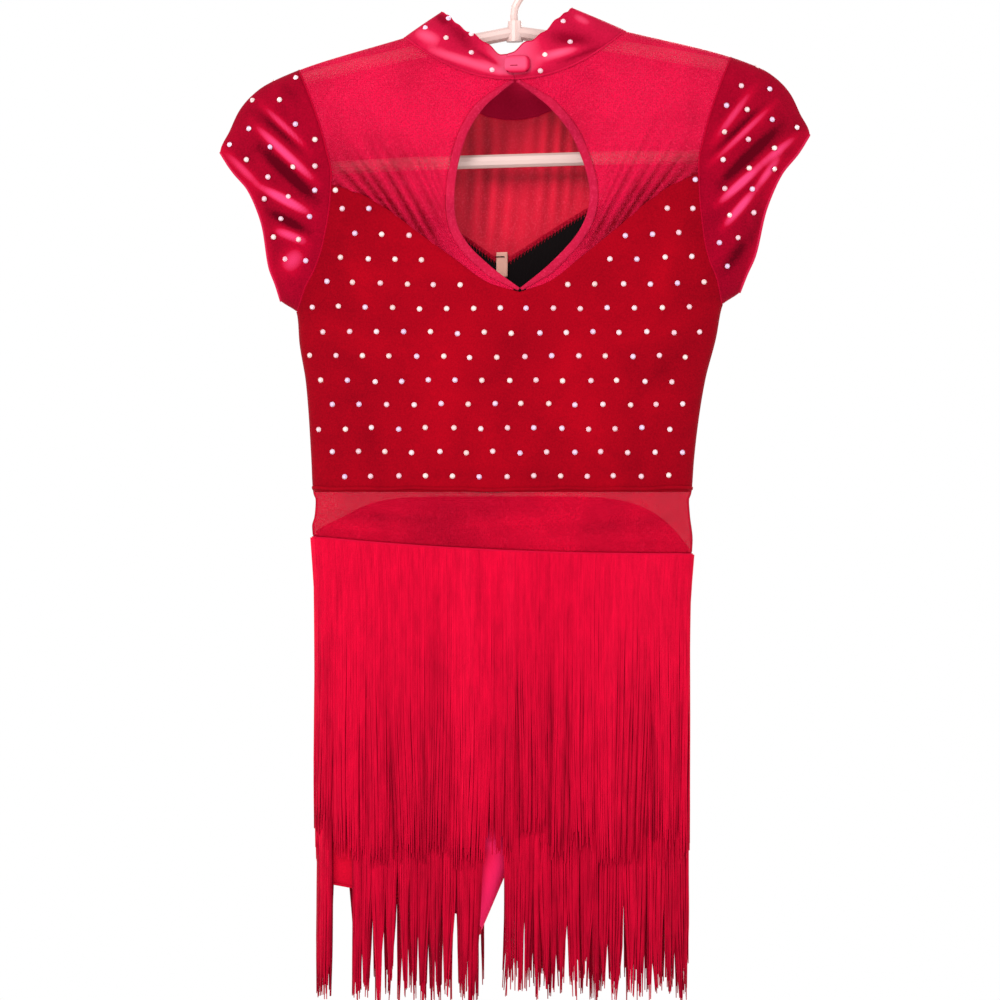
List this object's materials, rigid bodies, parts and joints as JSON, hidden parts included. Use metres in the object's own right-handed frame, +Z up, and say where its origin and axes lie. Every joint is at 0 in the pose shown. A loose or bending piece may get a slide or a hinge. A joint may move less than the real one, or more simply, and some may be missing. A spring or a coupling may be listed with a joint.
{
  "type": "hanging fringed dance unitard on a hanger",
  "caption": "Red velvet and mesh stage unitard with a keyhole back, cap sleeves, stand collar and fringed shorts, on a tubular hanger.",
  "frame": {"origin": "inside top of the hanger's hook, where a rail or wall hook carries it", "axes": "+Z up, +X to the right as seen from the keyhole side, which faces -Y; the front of the garment faces +Y"},
  "size_m": [0.5176, 0.0572, 0.9223],
  "materials": {
    "velvet": "stretch velvet, short glossy nap",
    "mesh": "sheer power mesh",
    "fringe": "twisted rayon chainette, soft lustre",
    "lining": "matt black knit",
    "tab": "plain woven tape",
    "hanger_plastic": "smooth moulded, soft gloss"
  },
  "bodies": {
    "root": {"hanger": "hanger_plastic", "collar": "velvet", "collar_tab": "velvet", "yoke_back_left": "mesh", "yoke_back_right": "mesh", "yoke_front": "mesh", "keyhole_binding_left": "mesh", "keyhole_binding_right": "mesh", "sleeve_left": "velvet", "sleeve_right": "velvet", "bodice_back": "velvet", "bodice_front": "velvet", "front_lining": "lining", "lining_tab": "tab", "midriff_back": "mesh", "midriff_front": "mesh", "shorts_left": "velvet", "shorts_right": "velvet", "fringe_upper_back": "fringe", "fringe_upper_front": "fringe", "fringe_lower_back": "fringe", "fringe_lower_front": "fringe"}
  },
  "joints": []
}
